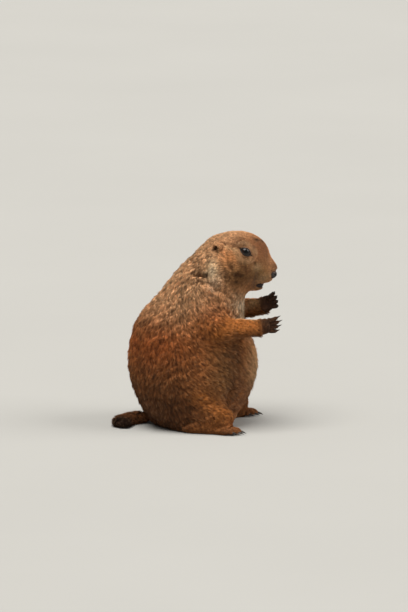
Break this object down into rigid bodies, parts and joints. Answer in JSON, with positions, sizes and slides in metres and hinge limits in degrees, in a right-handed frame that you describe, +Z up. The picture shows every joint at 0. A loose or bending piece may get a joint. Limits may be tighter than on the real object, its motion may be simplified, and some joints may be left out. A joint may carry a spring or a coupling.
{
  "type": "prairie dog",
  "caption": "Still life-size black-tailed prairie dog that sits up on its haunches with its hands raised before its chest as if to hold something.",
  "frame": {"origin": "on the floor, below the middle of the whole animal's box", "axes": "+X is the way the animal faces, +Y its left side, +Z up"},
  "size_m": [0.1664, 0.1206, 0.1977],
  "materials": {
    "coat": "dense short fur, tawny with dark ticking",
    "pale_coat": "very short fur on hands and feet",
    "tail_coat": "dense fur, dark brown to black at the end",
    "bare_skin": "moist dark skin",
    "eye": "wet and glossy, near black",
    "claw": "dark horn"
  },
  "bodies": {
    "root": {"torso": "coat", "neck": "coat", "head": "coat", "nose": "bare_skin", "tail": "tail_coat", "eye_left": "eye", "ear_left": "coat", "upper_arm_left": "coat", "forearm_left": "coat", "hand_left": "pale_coat", "thigh_left": "coat", "shank_left": "coat", "foot_left": "pale_coat", "hand_left_claw_1": "claw", "hand_left_claw_2": "claw", "hand_left_claw_3": "claw", "hand_left_claw_4": "claw", "hand_left_claw_5": "claw", "foot_left_claw_1": "claw", "foot_left_claw_2": "claw", "foot_left_claw_3": "claw", "foot_left_claw_4": "claw", "foot_left_claw_5": "claw", "eye_right": "eye", "ear_right": "coat", "upper_arm_right": "coat", "forearm_right": "coat", "hand_right": "pale_coat", "thigh_right": "coat", "shank_right": "coat", "foot_right": "pale_coat", "hand_right_claw_1": "claw", "hand_right_claw_2": "claw", "hand_right_claw_3": "claw", "hand_right_claw_4": "claw", "hand_right_claw_5": "claw", "foot_right_claw_1": "claw", "foot_right_claw_2": "claw", "foot_right_claw_3": "claw", "foot_right_claw_4": "claw", "foot_right_claw_5": "claw"}
  },
  "joints": []
}
